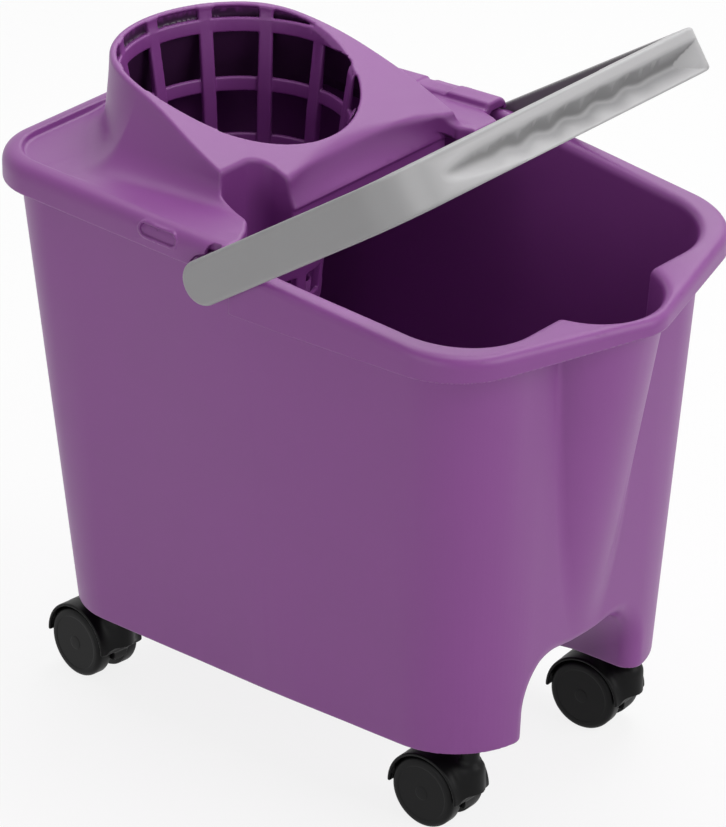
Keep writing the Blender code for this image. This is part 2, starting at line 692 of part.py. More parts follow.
def make_handle():
    """Bail handle, modelled lying along local +X and raised to its rest angle by its pivot."""
    pivot = empty("handle_pivot", (PIVOT_X, 0, PIVOT_Z), (0, -HANDLE_REST, 0))
    arm_outer = ARM_FACE_Y + ARM_THICKNESS
    arm_end = -ARM_WIDTH
    inner_x = BAIL_REACH - GRIP_DEPTH
    band = rounded([
        (arm_end, -arm_outer, 0, 0),
        (BAIL_REACH, -arm_outer, BAIL_CORNER, SOFT_EDGE_STEPS),
        (BAIL_REACH, arm_outer, BAIL_CORNER, SOFT_EDGE_STEPS),
        (arm_end, arm_outer, 0, 0),
        (arm_end, ARM_FACE_Y, 0, 0),
        (inner_x, ARM_FACE_Y, BAIL_INNER_CORNER, SOFT_EDGE_STEPS),
        (inner_x, -ARM_FACE_Y, BAIL_INNER_CORNER, SOFT_EDGE_STEPS),
        (arm_end, -ARM_FACE_Y, 0, 0),
    ])
    handle = extruded("handle", band, -ARM_WIDTH, ARM_WIDTH, collection=PARTS)
    side = arc(0, 0, ARM_WIDTH / 2, math.pi / 2, 1.5 * math.pi, DISC_STEPS // 2)
    side += [Vector((FAR, -ARM_WIDTH / 2)), Vector((FAR, ARM_WIDTH / 2))]
    side_shape = extruded("handle_side", side, -FAR, FAR, "Y")
    trough_floor = BAIL_REACH - TROUGH_DEPTH
    trough = [
        (trough_floor, -TROUGH_HALF),
        (FAR, -TROUGH_HALF - TROUGH_RAMP * (FAR - trough_floor) / TROUGH_DEPTH),
        (FAR, TROUGH_HALF + TROUGH_RAMP * (FAR - trough_floor) / TROUGH_DEPTH),
        (trough_floor, TROUGH_HALF),
    ]
    half = ARM_WIDTH / 2 - TROUGH_LIP
    trough_shape = extruded("handle_trough", trough, -half, half)
    stud = circle(0, 0, STUD_RADIUS, PIN_STEPS)
    near = BOSS_FACE_Y - STUD_LENGTH
    far = ARM_FACE_Y + ARM_THICKNESS / 2
    studs = [extruded("stud_left", stud, -far, -near, "Y"), extruded("stud_right", stud, near, far, "Y")]
    for helper in (side_shape, trough_shape, *studs):
        helper.parent = pivot
    boolean(handle, side_shape, "INTERSECT")
    cut(handle, trough_shape)
    join(handle, *studs)
    handle.parent = pivot
    finished(handle, GREY, 0.45)


def make_stem(name, swivel):
    """Steel stem: pin in the socket with a ring groove, neck under the bucket, spigot in the hood."""
    neck_top = FOOT_Z + SOCKET_LIFT - SEAT_GAP
    groove = STEM_RADIUS - RING_THICKNESS
    profile = [
        (0.0, STEM_TOP),
        (STEM_RADIUS, STEM_TOP),
        (STEM_RADIUS, RING_HIGH + SEAT_GAP),
        (groove, RING_HIGH + SEAT_GAP),
        (groove, RING_LOW - SEAT_GAP),
        (STEM_RADIUS, RING_LOW - SEAT_GAP),
        (STEM_RADIUS, neck_top),
        (STEM_NECK_RADIUS, neck_top),
        (STEM_NECK_RADIUS, HOOD_TOP + SEAT_GAP),
        (SPIGOT_RADIUS, HOOD_TOP + SEAT_GAP),
        (SPIGOT_RADIUS, SPIGOT_LOW),
        (0.0, SPIGOT_LOW),
    ]
    stem = turned(name, profile, PIN_STEPS, PARTS)
    stem.parent = swivel
    finished(stem, STEEL, 0.3, 1.0)


def make_grip_ring(name, swivel):
    """Split spring ring in the stem's groove."""
    inner = STEM_RADIUS - RING_THICKNESS + PIN_GAP / 2
    outer = STEM_RADIUS + PIN_GAP / 2
    start = RING_SPLIT / 2
    end = math.tau - RING_SPLIT / 2
    outline = arc(0, 0, outer, start, end, PIN_STEPS) + arc(0, 0, inner, end, start, PIN_STEPS)
    ring = extruded(name, outline, RING_LOW, RING_HIGH, collection=PARTS)
    ring.parent = swivel
    finished(ring, STEEL, 0.3, 1.0)


def make_hood(name, swivel):
    """Caster hood: a band over the wheels, a web between them and a boss around the spigot."""
    top = arc(-TRAIL, WHEEL_RADIUS, HOOD_OUTER, HOOD_FRONT_ANGLE, HOOD_REAR_ANGLE, HOOD_STEPS)
    under = arc(-TRAIL, WHEEL_RADIUS, HOOD_INNER, HOOD_REAR_ANGLE, HOOD_FRONT_ANGLE, HOOD_STEPS)
    hood = extruded(name, top + under, -HOOD_HALF, HOOD_HALF, "Y", PARTS)
    middle = (HOOD_INNER + HOOD_OUTER) / 2
    low_turn = math.pi - WEB_LOW_ANGLE
    web = arc(-TRAIL, WHEEL_RADIUS, middle, WEB_TOP_ANGLE, low_turn, WEB_STEPS)
    web.append(Vector((-TRAIL + middle * math.cos(WEB_LOW_ANGLE), WEB_FRONT_LOW)))
    web.append(Vector((WEB_FRONT_X, WEB_NOSE_LOW)))
    web.append(Vector((WEB_FRONT_X, WEB_NOSE_TOP)))
    web_block = extruded(name + "_web", web, -WEB_HALF, WEB_HALF, "Y")
    boss = extruded(name + "_boss", circle(0, 0, HOOD_BOSS_RADIUS, TUBE_STEPS), HOOD_BOSS_LOW, HOOD_TOP)
    spigot_circle = circle(0, 0, SPIGOT_RADIUS + PIN_GAP, PIN_STEPS)
    bore = extruded(name + "_bore", spigot_circle, SPIGOT_LOW - SEAT_GAP, HOOD_TOP + OVER)
    axle_circle = circle(-TRAIL, WHEEL_RADIUS, AXLE_RADIUS + PIN_GAP, PIN_STEPS)
    axle_bore = extruded(name + "_axle_bore", axle_circle, -HOOD_HALF, HOOD_HALF, "Y")
    for helper in (hood, web_block, boss, bore, axle_bore):
        helper.parent = swivel
    join(hood, web_block, boss)
    cut(hood, bore, axle_bore)
    finished(hood, BLACK, 0.35)


def make_axle(name, axle_point):
    """Steel axle pin through the web, with an end in each wheel."""
    axle = extruded(name, circle(0, 0, AXLE_RADIUS, PIN_STEPS), -AXLE_HALF, AXLE_HALF, "Y", PARTS)
    axle.parent = axle_point
    finished(axle, STEEL, 0.3, 1.0)


def make_wheel(name, axle_point, side):
    """Caster wheel: closed outer face, rounded tread, blind bore from the inner face."""
    radius = WHEEL_RADIUS / math.cos(math.pi / WHEEL_STEPS)
    bore = AXLE_RADIUS + PIN_GAP
    edge = radius - WHEEL_ROUND
    profile = [(0.0, WHEEL_OUTER_Y)]
    rounding = arc(edge, WHEEL_OUTER_Y - WHEEL_ROUND, WHEEL_ROUND, math.pi / 2, 0, 3)
    profile += [(p.x, p.y) for p in rounding]
    bore_end = AXLE_HALF + PIN_GAP
    profile += [(radius, WHEEL_INNER_Y), (bore, WHEEL_INNER_Y), (bore, bore_end), (0.0, bore_end)]
    wheel = turned(name, profile, WHEEL_STEPS, PARTS)
    wheel.parent = axle_point
    half_step = math.pi / WHEEL_STEPS
    facing = Matrix.Rotation(-side * math.pi / 2, 4, "X") @ Matrix.Rotation(half_step, 4, "Z")
    wheel.matrix_basis = facing
    finished(wheel, BLACK, 0.4)


make_bucket()
make_wringer()
make_handle()
for corner, (swivel_x, swivel_y) in SWIVELS.items():
    swivel_point = empty(corner + "_swivel", (swivel_x, swivel_y, 0), (0, 0, HEADINGS[corner]))
    make_stem(corner + "_caster_stem", swivel_point)
    make_grip_ring(corner + "_caster_grip_ring", swivel_point)
    make_hood(corner + "_caster_hood", swivel_point)
    axle_point = empty(corner + "_axle_point", (-TRAIL, 0, WHEEL_RADIUS), (0, 0, 0), swivel_point)
    make_axle(corner + "_caster_axle", axle_point)
    make_wheel(corner + "_caster_wheel_left", axle_point, -1)
    make_wheel(corner + "_caster_wheel_right", axle_point, 1)
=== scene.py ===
"""Looks of the mop bucket with wringer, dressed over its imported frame.

Shapes are signed-distance fields in millimetres in the part's frame: +X the spout, -Y the pole notch, +Z up.
"""
import math

import bmesh
import bpy
import numpy as np
from mathutils import Matrix, Vector


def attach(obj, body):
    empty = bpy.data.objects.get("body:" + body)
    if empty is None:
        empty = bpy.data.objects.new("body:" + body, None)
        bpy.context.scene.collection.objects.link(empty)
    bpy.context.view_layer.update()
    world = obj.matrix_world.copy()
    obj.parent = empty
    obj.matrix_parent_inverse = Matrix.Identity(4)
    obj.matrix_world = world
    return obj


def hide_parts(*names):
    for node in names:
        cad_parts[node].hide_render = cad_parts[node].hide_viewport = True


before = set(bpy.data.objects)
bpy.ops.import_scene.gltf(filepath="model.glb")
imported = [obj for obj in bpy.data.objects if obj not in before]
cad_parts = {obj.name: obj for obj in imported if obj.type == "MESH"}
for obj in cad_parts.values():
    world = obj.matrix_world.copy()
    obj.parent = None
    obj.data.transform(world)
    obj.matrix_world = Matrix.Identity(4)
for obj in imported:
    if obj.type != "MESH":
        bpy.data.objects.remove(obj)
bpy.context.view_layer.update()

MM = 0.001

# Bucket
RIM_TOP = 313.0
RIM_SLOPE_X = -12.0
RIM_SLOPE = 0.105
RIM_EASE = 16.0
RIM_SOFT = 5.5
RIM_FILLET = 2.0
RIM_WALL = 3.0
SKIRT_LOW = 283.2
SKIRT_X = 3.0
SKIRT_WALL = 2.5
SKIRT_EDGE = 1.0
CHANNEL_EDGE = 0.8
SEAT_INSET = 3.0
SEAT_LOW = 306.0
SEAT_END = 6.0
BOSS_RADIUS = 12.0
BOSS_MIDDLE = 114.0
BOSS_HALF = 10.0
WALL = 2.6
FOOT_Z = 51.4
FOOT_EDGE = 1.8
FLOOR_TOP = 78.0
FLOOR_FILLET = 8.0
UNDER_EDGE = 1.0
SPOUT_RADIUS = 41.0
SPOUT_X = 136.0
SPOUT_TILT = 0.2
SPOUT_BLEND = 2.4
ARCH_HALF = 44.5
ARCH_TOP = 93.5
ARCH_ROUND = 24.0
ARCH_ROOF_X = 130.0
ARCH_ROOF_FALL = 0.66
ARCH_ROOF_LEAN = 0.9
ARCH_CHEEK_X = 84.0
ARCH_EDGE_TOP = 4.5
ARCH_EDGE_SIDE = 10.0
ARCH_EDGE_FROM = 10.0
ARCH_EDGE_RUN = 26.0
SWIVEL_FRONT = 118.5
SWIVEL_REAR = -128.0
SWIVEL_Y = 68.0
SOCKET_RADIUS = 9.0
SOCKET_BORE = 5.6
SOCKET_TOP = 71.0

# Wringer
LIP_LOW = 302.0
LIP_TOP = 319.0
LIP_WALL = 2.7
LIP_SOFT = 8.5
LIP_EDGE = 1.6
LIP_FRONT_EDGE = 2.5
LIP_STEP = 12.0
LIP_STEP_Y = 98.0
LIP_STEP_RUN = 6.0
RIGHT_Y = 45.0
RIGHT_RUN = 30.0
REAR_X = -80.0
REAR_RUN = 60.0
RELIEF_START = -63.0
RELIEF_END = -41.0
RELIEF_RUN = 2.0
RELIEF_DEPTH = 1.1
PLATE_LOW = 313.3
PLATE_DROP = 2.8
PLATE_DROP_INSET = 13.0
PLATE_DROP_RUN = 4.0
SUNK_START = 2.6
SUNK_REAR = 5.8
SUNK_RIGHT = 6.2
SUNK_INSET = 11.0
SUNK_INSET_RIGHT = 6.0
SUNK_ROUND = 2.6
SUNK_EDGE = 2.4
SLOT_X = -46.0
SLOT_Z = 312.2
SLOT_REACH = 9.6
SLOT_HALF = 3.1
SLOT_SIDE = 100.0
SLOT_SUNK = 0.9
SLOT_EDGE = 0.6
SLOT_FRAME = 1.5
SLOT_FRAME_HALF = 0.7
SLOT_FRAME_FILLET = 0.8
COLLAR_X = -96.2
COLLAR_BASE = 314.6
COLLAR_TOP = 362.0
COLLAR_WALL = 2.6
COLLAR_FLARE = 1.47
COLLAR_FILLET = 12.0
COLLAR_EDGE = 2.2
COLLAR_INNER_EDGE = 1.0
RIDGE_X = -25.6
RIDGE_Z = 327.0
RIDGE_BOW = 0.0026
RIDGE_EDGE = 2.6
BEAD_X = -15.6
BEAD_Z = 310.0
BEAD_STEP = 1.3
BEAD_ROUND = 2.5
FLANGE_LOW = 296.0
FLANGE_TOP = 318.0
FLANGE_LEFT = -48.0
FLANGE_RIGHT = 75.5
FRONT_HOLLOW = 0.9
FRONT_LEAN = 0.77
CREST_X = -143.0
CREST_RADIUS = 184.0
CREST_FALL = math.radians(22.3)
OPENING_RADIUS = 63.4
OPENING_EDGE = 3.0
POCKET_LOW = 285.0
POCKET_TOP = 317.0
POCKET_CUT_LOW = 270.0
POCKET_EDGE = 2.6
STUD_CLEAR_RADIUS = 13.5
STUD_CLEAR_SIDE = 111.0
NOTCH_X = -7.0
NOTCH_Z = 312.4
NOTCH_RADIUS = 5.6
NOTCH_DEPTH = 4.0
BASKET_FOOT = 222.0
BASKET_FOOT_RADIUS = 52.0
BASKET_TOP_RADIUS = 65.6
BASKET_FLOOR = 3.5
BASKET_FILLET = 1.5
WAIST_DEPTH = 9.0
WAIST_TOP = 290.0
WAIST_RUN = 45.0
BASKET_RIBS = 12
RIB_HALF = 3.9
RIB_PHASE = math.radians(2.5)
RIB_DEPTH = 4.8
RIB_FLUSH = 0.2
RIB_GAIN = 0.06
RIB_EDGE = 1.2
RIB_INNER_EDGE = 1.4
RIB_TOP_DROP = 0.8
RIB_TOP_SLOPE = 1.6
RINGS = ((350.2, 4.0), (317.1, 4.0), (285.2, 4.2), (248.5, 4.2), (226.0, 4.0))
RING_DEPTH = 2.8
DRAIN_COUNT = 6
DRAIN_CIRCLE = 30.0
DRAIN_RADIUS = 8.0
DRAIN_EDGE = 1.0

# Handle
HANDLE_REST = math.radians(33.2)
PIVOT_X = -11.0
PIVOT_Z = 298.0
ARM_INNER = 124.3
ARM_OUTER = 128.8
ARM_HALF = 12.25
BAIL_REACH = 150.0
GRIP_DEPTH = 16.0
BEND_NEAR = 32.0
BEND_FAR = 11.7
BEND_INSIDE = 14.0
FAR_LEAN = 1.2
FAR_LEAN_Y = 60.0
BAND_EDGE = 2.2
STUD_RADIUS = 4.0
STUD_MIDDLE = 120.0
STUD_HALF = 5.5
TROUGH_DEPTH = 10.0
TROUGH_NEAR = -90.0
TROUGH_FAR = 125.5
TROUGH_START = -0.3
TROUGH_TOP = 5.8
TROUGH_VALLEY = -2.4
TROUGH_FOOT = -12.6
TROUGH_ROUND = 5.5
TROUGH_LEAN = 0.85
TROUGH_EDGE = 1.2
TROUGH_LEAST = 0.2
TROUGH_GAIN = 0.95
TROUGH_TOP_RISE = 1.2
TROUGH_VALLEY_FALL = 0.45
TROUGH_FOOT_FALL = 1.45
TROUGH_NEAR_SLOPE = 0.3
TROUGH_FAR_SLOPE = 0.45
FINGER_PITCH = 25.7
FINGER_Y = -24.0
FINGER_HEIGHT = 1.5
FINGER_FROM = -60.0
FINGER_TO = 95.0
FINGER_RUN = 30.0

# Casters
HEADINGS = {"front_left": 1.2, "front_right": 5.5, "rear_left": -6.7, "rear_right": -4.0}
TRAIL = 20.7
WHEEL_RADIUS = 20.0
HOOD_MIDDLE = 21.8
HOOD_HALF_WALL = 1.0
HOOD_HALF = 14.8
HOOD_TOP = 50.9
HOOD_LOW = 19.6
HOOD_EDGE = 1.2
HOOD_FILLET = 6.0
SHOULDER_RADIUS = 8.3
SHOULDER_LOW = 24.0
SHOULDER_TOP = 41.5
SHOULDER_ROUND = 6.0
NECK_RADIUS = 5.2
NECK_LOW = 30.0
NECK_FILLET = 2.0
WEB_HALF = 4.7
WEB_LOW = 13.5
WEB_TAIL = -41.0
WEB_EDGE = 1.5
WEB_FILLET = 2.0
WHEEL_SIDE = 5.1
WHEEL_EDGE = 0.8
BORE_RADIUS = 3.2
BORE_LOW = 25.9
AXLE_BORE = 2.7

# Meshing
BLOCK = 4
BLOCK_REACH = 1.6
NORMAL_STEP = 0.05
SLIVER = 0.01
CRUMB = 200
SHARP_ANGLE = math.radians(40)

# Painted shade: where the masks darken the colour to stand for shade
FACING_FROM = 0.1
FACING_RUN = 0.4
GAP_DEPTH = 1.5
GAP_RUN = 0.8
GAP_TOP = 2.5
GAP_TOP_RUN = 1.5
GAP_INSET = 0.5
BUCKET_SHADE = 0.35
INSIDE_MIDDLE = -20.0
INSIDE_X = -75.0
INSIDE_RUN = 50.0
INSIDE_RISE = 20.0
TUNNEL_MARGIN = 3.0
TUNNEL_EDGE = 2.0
TUNNEL_X = 132.0
TUNNEL_RUN = 22.0
TUNNEL_END = 4.0
ARM_SHADE = 0.47
ARM_Y = 100.0
ARM_RUN = 20.0
ARM_FACING_FROM = 0.3
OUTSIDE_Y = 80.0
OUTSIDE_RUN = 22.0
OUTSIDE_REACH = 10.0
OUTSIDE_FADE = 80.0
TROUGH_SHADE = 0.9
TROUGH_SHADE_DEPTH = 3.0
TROUGH_SHADE_BACK = 12.0
TROUGH_SHADE_RUN = 2.0
TROUGH_FACING_FROM = 0.35
TROUGH_FACING_RUN = 0.9


def rounded(corners, steps=24):
    """Points of a polygon whose corners (x, y, radius) are rounded."""
    points = []
    for i, (x, y, radius) in enumerate(corners):
        here = Vector((x, y))
        if not radius:
            points.append(here)
            continue
        back = (Vector(corners[i - 1][:2]) - here).normalized()
        ahead = (Vector(corners[(i + 1) % len(corners)][:2]) - here).normalized()
        half = back.angle(ahead) / 2
        centre = here + (back + ahead).normalized() * (radius / math.sin(half))
        start = here + back * (radius / math.tan(half)) - centre
        turn = math.copysign(math.pi - 2 * half, ahead.cross(back))
        for k in range(steps + 1):
            points.append(centre + Matrix.Rotation(turn * k / steps, 2) @ start)
    return points


def both_sides(left):
    """Corners of the -Y half followed by their mirror images."""
    return left + [(x, -y, radius) for x, y, radius in reversed(left) if y]


class Plan:
    """Signed distance from a closed outline seen from above, looked up on a grid of 1 mm."""

    MARGIN = 50

    def __init__(self, corners):
        points = np.array([tuple(p) for p in rounded(corners)])
        self.low = np.floor(points.min(0)) - self.MARGIN
        self.size = (np.ceil(points.max(0)) + self.MARGIN - self.low).astype(int) + 1
        x, y = np.meshgrid(*(self.low[i] + np.arange(self.size[i]) for i in (0, 1)), indexing="ij")
        nearest = np.full(x.shape, np.inf)
        crossings = np.zeros(x.shape, bool)
        for (ax, ay), (bx, by) in zip(points, np.roll(points, -1, 0)):
            ex, ey = bx - ax, by - ay
            along = np.clip(((x - ax) * ex + (y - ay) * ey) / (ex * ex + ey * ey + 1e-12), 0, 1)
            nearest = np.minimum(nearest, np.hypot(x - ax - along * ex, y - ay - along * ey))
            if ay != by:
                crossings ^= ((ay > y) != (by > y)) & (x < ax + (y - ay) * ex / ey)
        self.table = np.where(crossings, -nearest, nearest)

    def __call__(self, x, y):
        u = np.clip(x - self.low[0], 0, self.size[0] - 1.001)
        v = np.clip(y - self.low[1], 0, self.size[1] - 1.001)
        i, j = u.astype(np.int32), v.astype(np.int32)
        u, v = u - i, v - j
        t = self.table
        near = t[i, j] * (1 - u) + t[i + 1, j] * u
        far = t[i, j + 1] * (1 - u) + t[i + 1, j + 1] * u
        return near * (1 - v) + far * v


def either(a, b, soft):
    """Union of two fields with a fillet."""
    mix = np.maximum(soft - np.abs(a - b), 0) / soft
    return np.minimum(a, b) - mix * mix * soft / 4


def both(a, b, soft):
    """Intersection of two fields with a rounded edge."""
    return -either(-a, -b, soft)


def minus(a, b, soft):
    """One field cut out of another with a rounded edge."""
    return both(a, -b, soft)


def round_both(a, b, radius):
    """Intersection of two fields whose edge has a true radius."""
    corner = np.hypot(np.maximum(a + radius, 0), np.maximum(b + radius, 0))
    return np.minimum(np.maximum(a, b), -radius) + corner


def gradient(field, points, step):
    """Unit normals of a field at the points."""
    slopes = []
    for axis in range(3):
        shift = np.zeros(3)
        shift[axis] = step
        slopes.append(field(*(points + shift).T) - field(*(points - shift).T))
    slopes = np.stack(slopes, 1)
    return slopes / np.maximum(np.linalg.norm(slopes, axis=1, keepdims=True), 1e-9)


def sampled(field, low, high, pitch):
    """The field on a grid, worked out finely only near its surface."""
    count = [math.ceil((b - a) / (pitch * BLOCK)) for a, b in zip(low, high)]
    middles = [a + (np.arange(n) * BLOCK + (BLOCK - 1) / 2) * pitch for a, n in zip(low, count)]
    values = field(*np.meshgrid(*middles, indexing="ij")).astype(np.float32)
    for axis in range(3):
        values = np.repeat(values, BLOCK, axis)
    near = np.abs(values) < pitch * BLOCK * BLOCK_REACH
    points = [a + i * pitch for a, i in zip(low, np.nonzero(near))]
    values[near] = field(*points)
    return values


def surface_net(values, low, pitch):
    """Vertices and quads of the zero surface of a sampled field."""
    inside = values < 0
    shape = [n - 1 for n in inside.shape]
    offsets = [(i, j, k) for i in (0, 1) for j in (0, 1) for k in (0, 1)]
    total = np.zeros(shape, np.uint8)
    for i, j, k in offsets:
        total += inside[i:i + shape[0], j:j + shape[1], k:k + shape[2]]
    mixed = (total > 0) & (total < 8)
    cells = np.stack(np.nonzero(mixed), 1)
    index = np.full(shape, -1, np.int64)
    index[mixed] = np.arange(len(cells))
    corner = {o: values[tuple((cells + o).T)] for o in offsets}
    sums = np.zeros((len(cells), 3))
    hits = np.zeros(len(cells))
    for start in offsets:
        for axis in range(3):
            if start[axis]:
                continue
            end = tuple(1 if i == axis else start[i] for i in range(3))
            a, b = corner[start], corner[end]
            crossed = (a < 0) != (b < 0)
            share = np.where(crossed, a / np.where(crossed, a - b, 1), 0)
            sums += crossed[:, None] * np.array(start)
            sums[:, axis] += share
            hits += crossed
    vertices = np.array(low) + (cells + sums / hits[:, None]) * pitch
    quads = []
    for axis in range(3):
        b, c = (axis + 1) % 3, (axis + 2) % 3
        lower = np.take(inside, range(inside.shape[axis] - 1), axis)
        upper = np.take(inside, range(1, inside.shape[axis]), axis)
        edges = np.stack(np.nonzero(lower != upper), 1)
        outward = lower[tuple(edges.T)]
        step_b = np.eye(3, dtype=int)[b]
        step_c = np.eye(3, dtype=int)[c]
        ring = [edges, edges - step_b, edges - step_b - step_c, edges - step_c]
        faces = np.stack([index[tuple(r.T)] for r in ring], 1)
        quads.append(np.where(outward[:, None], faces, faces[:, ::-1]))
    return vertices, np.concatenate(quads)


def without_crumbs(mesh):
    """Drops what meshing leaves behind: slivers without area, folded flaps and crumbs apart from the rest."""
    form = bmesh.new()
    form.from_mesh(mesh)
    bmesh.ops.dissolve_degenerate(form, dist=SLIVER * MM, edges=form.edges)
    bmesh.ops.triangulate(form, faces=form.faces)
    form.verts.index_update()
    sharing = {}
    for face in form.faces:
        sharing.setdefault(frozenset(v.index for v in face.verts), []).append(face)
    flaps = [face for faces in sharing.values() if len(faces) > 1 for face in faces]
    bmesh.ops.delete(form, geom=flaps, context="FACES")
    seen = set()
    crumbs = []
    for face in form.faces:
        if face in seen:
            continue
        seen.add(face)
        group = [face]
        for near in group:
            for edge in near.edges:
                for other in edge.link_faces:
                    if len(edge.link_faces) == 2 and other not in seen:
                        seen.add(other)
                        group.append(other)
        if len(group) < CRUMB:
            crumbs += group
    bmesh.ops.delete(form, geom=crumbs, context="FACES")
    form.to_mesh(mesh)
    form.free()


def moulded(name, field, low, high, pitch, keep, painted_shade=None):
    """A mesh with the shape of a field: fine where it bends and coarse where it is flat."""
    vertices, quads = surface_net(sampled(field, low, high, pitch), low, pitch)
    for _ in range(2):
        slip = np.clip(field(*vertices.T), -pitch / 2, pitch / 2)
        vertices -= slip[:, None] * gradient(field, vertices, NORMAL_STEP)
    mesh = bpy.data.meshes.new(name)
    mesh.from_pydata((vertices * MM).tolist(), [], quads.tolist())
    rough = bpy.data.objects.new(name + "_fine", mesh)
    bpy.context.scene.collection.objects.link(rough)
    thin = rough.modifiers.new("thin", "DECIMATE")
    thin.ratio = keep
    graph = bpy.context.evaluated_depsgraph_get()
    final = bpy.data.meshes.new_from_object(rough.evaluated_get(graph))
    bpy.data.objects.remove(rough)
    without_crumbs(final)
    final.name = name
    final.shade_smooth()
    points = np.empty(len(final.vertices) * 3)
    final.vertices.foreach_get("co", points)
    points = points.reshape(-1, 3) / MM
    normals = gradient(field, points, pitch / 2)
    final.normals_split_custom_set_from_vertices(normals.tolist())
    # Painted shade: a mask, stored on the vertices, that darkens the colour where shade falls
    if painted_shade:
        layer = final.attributes.new("painted_shade", "FLOAT", "POINT")
        layer.data.foreach_set("value", painted_shade(*points.T, normals).astype(np.float32))
    return final


def placed(name, mesh):
    """A piece made of a mesh that is already where it belongs."""
    piece = bpy.data.objects.new(name, mesh)
    bpy.context.scene.collection.objects.link(piece)
    return piece


# Outlines seen from above, as corners of x, y and radius
RIM = Plan(both_sides([(-184.2, -111.0, 40), (5.0, -124.6, 1000), (147.5, -120.0, 45), (185.53, 0.0, 28)]))
BRIM = Plan(both_sides([(-174.0, -104.0, 37), (5.0, -114.0, 1000), (150.5, -106.5, 45)]))
FOOT = Plan(both_sides([(-158.5, -92.0, 42), (5.0, -94.5, 1000), (138.0, -92.5, 46)]))
BITE = Plan([(30, -109.5, 0), (0, -109.5, 0), (-6, -98, 0), (-14.5, -87, 5), (-14.5, -76, 3), (-30, -74, 0),
             (-30, 74, 0), (-8, 76, 0), (-3, 80, 0), (30, 80, 0)])
COLLAR_FOOT = Plan(both_sides([(-168.7, -27.7, 72.5), (-114.7, -90.0, 14), (-2.0, -74.7, 0)]))
COLLAR_HEAD = Plan(both_sides([(-163.8, -25.9, 67.6), (-131.3, -62.7, 64), (-2.0, -84.1, 0)]))
POCKET = Plan([(20, -99, 0), (-39.6, -79.5, 4), (-39.6, -49.2, 11), (20, -49.2, 0)])


def eased(share):
    """A share from 0 to 1 that starts and ends gently."""
    share = np.clip(share, 0, 1)
    return share * share * (3 - 2 * share)


def over_rim(x, z):
    """Distance above the rim's top surface, which falls towards the spout."""
    run = -either(-(x - RIM_SLOPE_X), np.zeros_like(x), RIM_EASE)
    return (z - RIM_TOP + RIM_SLOPE * run) * math.cos(RIM_SLOPE)


def bucket_field(x, y, z):
    """Bucket with skirted rim, spout, foot-tip arch and caster sockets."""
    side = np.abs(y)
    share = (z - FOOT_Z) / (SKIRT_LOW - FOOT_Z)
    wall = FOOT(x, y) * (1 - share) + BRIM(x, y) * share
    tube = np.hypot(x - SPOUT_X - SPOUT_TILT * (z - SKIRT_LOW), y) - SPOUT_RADIUS
    outer = either(wall, tube, SPOUT_BLEND)
    inner = either(wall + WALL, tube + WALL, SPOUT_BLEND)
    roof = (z - ARCH_TOP + ARCH_ROOF_FALL * np.maximum(ARCH_ROOF_X - x, 0)) * ARCH_ROOF_LEAN
    arch = round_both(side - ARCH_HALF, roof, ARCH_ROUND)
    turn = np.clip((side - ARCH_EDGE_FROM) / ARCH_EDGE_RUN, 0, 1)
    edge = ARCH_EDGE_TOP + (ARCH_EDGE_SIDE - ARCH_EDGE_TOP) * turn
    rim = RIM(x, y)
    top = over_rim(x, z)
    skirt = both(rim, np.maximum(SKIRT_LOW - z, SKIRT_X - x), SKIRT_EDGE)
    seat = np.maximum(rim + SEAT_INSET, np.maximum(SEAT_LOW - z, x - SEAT_END))
    boss = np.hypot(x - PIVOT_X, z - PIVOT_Z) - BOSS_RADIUS
    boss = np.maximum(boss, np.abs(side - BOSS_MIDDLE) - BOSS_HALF)
    solid = either(round_both(outer, -arch, edge), np.minimum(np.minimum(skirt, seat), boss), RIM_FILLET)
    void = both(round_both(inner, WALL - arch, edge - WALL), FLOOR_TOP - z, FLOOR_FILLET)
    solid = both(np.maximum(solid, -void), top, RIM_SOFT)
    channel = np.maximum(np.maximum(rim + SKIRT_WALL, top + RIM_WALL), SKIRT_X + SKIRT_WALL - x)
    channel = np.maximum(channel, RIM_WALL - WALL - outer)
    solid = minus(solid, channel, CHANNEL_EDGE)
    swivel = np.hypot(np.minimum(np.abs(x - SWIVEL_FRONT), np.abs(x - SWIVEL_REAR)), side - SWIVEL_Y)
    under = round_both(wall + WALL, WALL - arch, edge - WALL)
    under = np.minimum(under, np.maximum(wall + WALL, x - ARCH_CHEEK_X))
    under = np.maximum(np.maximum(under, z - FLOOR_TOP + WALL), SOCKET_RADIUS - swivel)
    solid = minus(solid, under, UNDER_EDGE)
    solid = both(solid, FOOT_Z - z, FOOT_EDGE)
    return np.maximum(solid, -np.maximum(swivel - SOCKET_BORE, z - SOCKET_TOP))


def over_crest(x, z):
    """Distance above the collar's top surface: level at the rear, then falling to the front."""
    reach = CREST_RADIUS * math.sin(CREST_FALL)
    run = np.clip(x - CREST_X, 0, reach)
    drop = CREST_RADIUS - np.sqrt(CREST_RADIUS ** 2 - run * run)
    drop += np.maximum(x - CREST_X - reach, 0) * math.tan(CREST_FALL)
    return (z - COLLAR_TOP + drop) * np.sqrt(1 - (run / CREST_RADIUS) ** 2)


